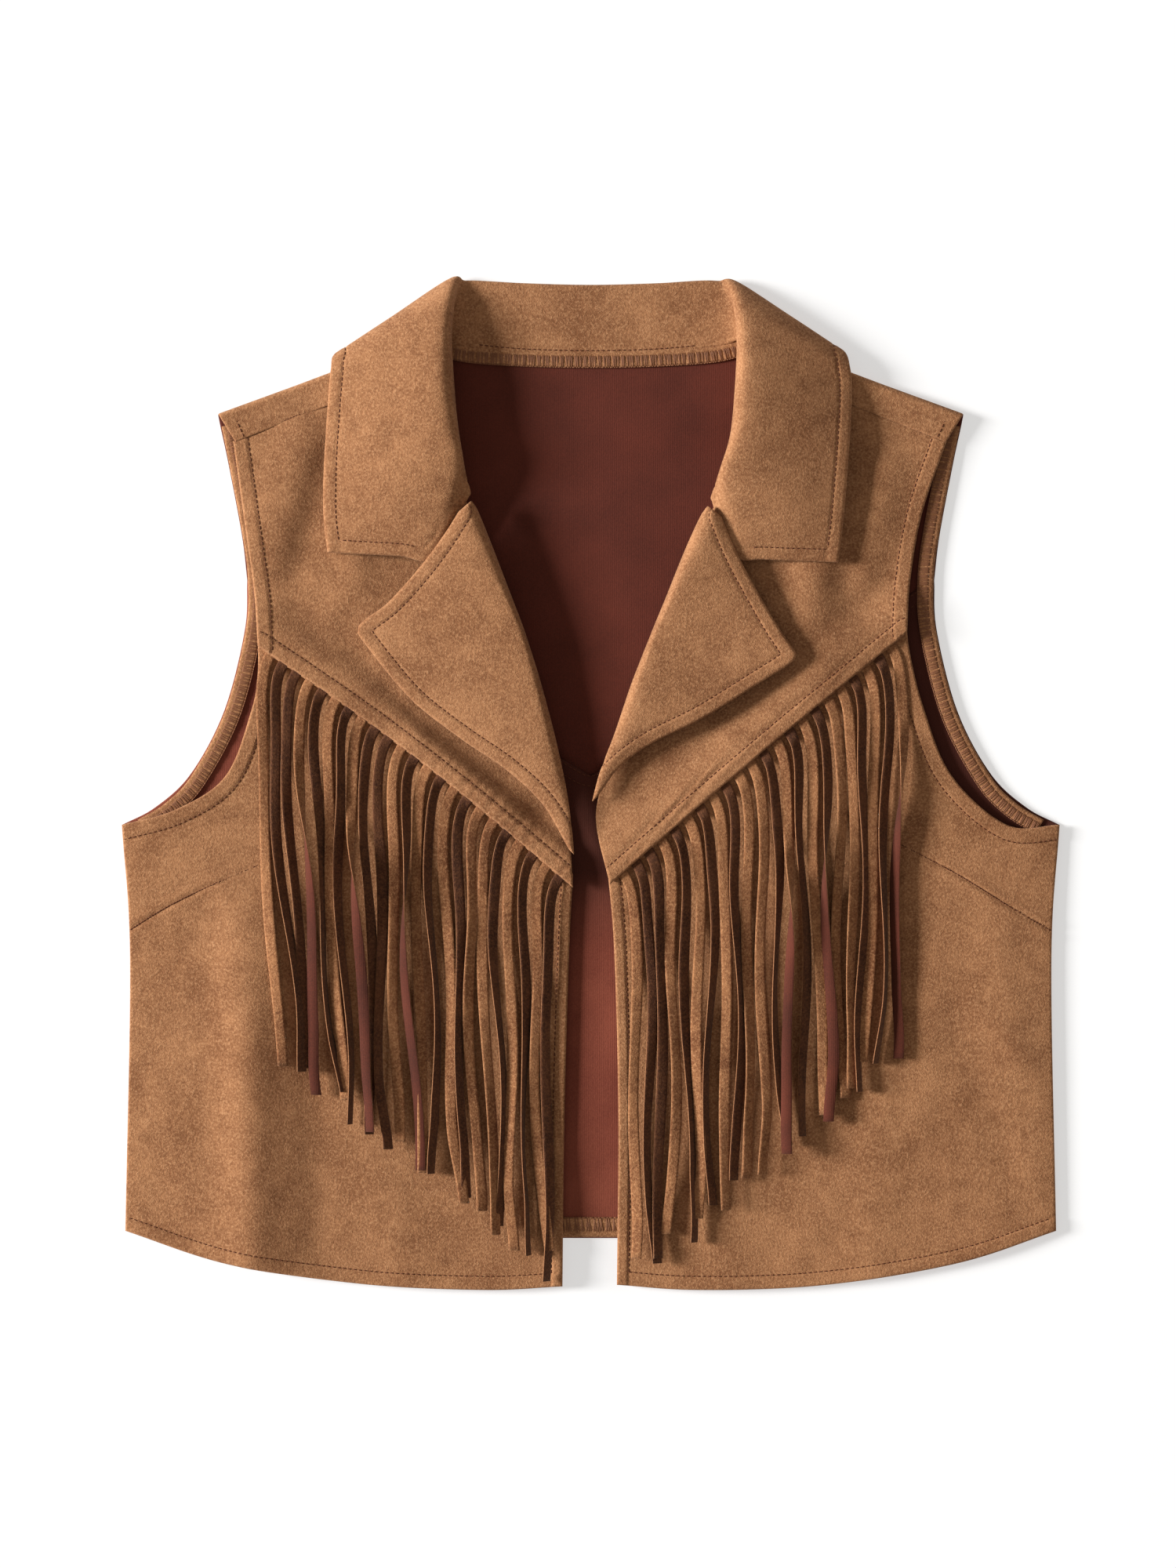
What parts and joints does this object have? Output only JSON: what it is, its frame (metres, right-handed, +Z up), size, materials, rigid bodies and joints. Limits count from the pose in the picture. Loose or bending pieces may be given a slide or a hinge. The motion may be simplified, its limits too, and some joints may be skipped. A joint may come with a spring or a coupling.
{
  "type": "fringed sleeveless vest",
  "caption": "Open sleeveless vest of imitation suede, laid flat, with a notched collar, turned-back lapels, slanted yokes and a fringe hanging from each front yoke seam.",
  "frame": {"origin": "under the middle of the whole vest, on the surface that it lies on", "axes": "+X to the side on the viewer's right, +Y from the hem up to the collar, +Z up from the surface"},
  "size_m": [0.4782, 0.5163, 0.0218],
  "materials": {
    "suede": "brushed imitation suede, tan face and red-brown reverse"
  },
  "bodies": {
    "root": {"back_panel": "suede", "back_yoke": "suede", "collar": "suede", "front_panel_left": "suede", "front_panel_right": "suede", "front_yoke_left": "suede", "front_yoke_right": "suede", "lapel_left": "suede", "lapel_right": "suede", "fringe_left": "suede", "fringe_right": "suede", "turned_hem_back": "suede", "turned_armhole_left": "suede", "turned_armhole_right": "suede", "turned_neck_edge": "suede"}
  },
  "joints": []
}
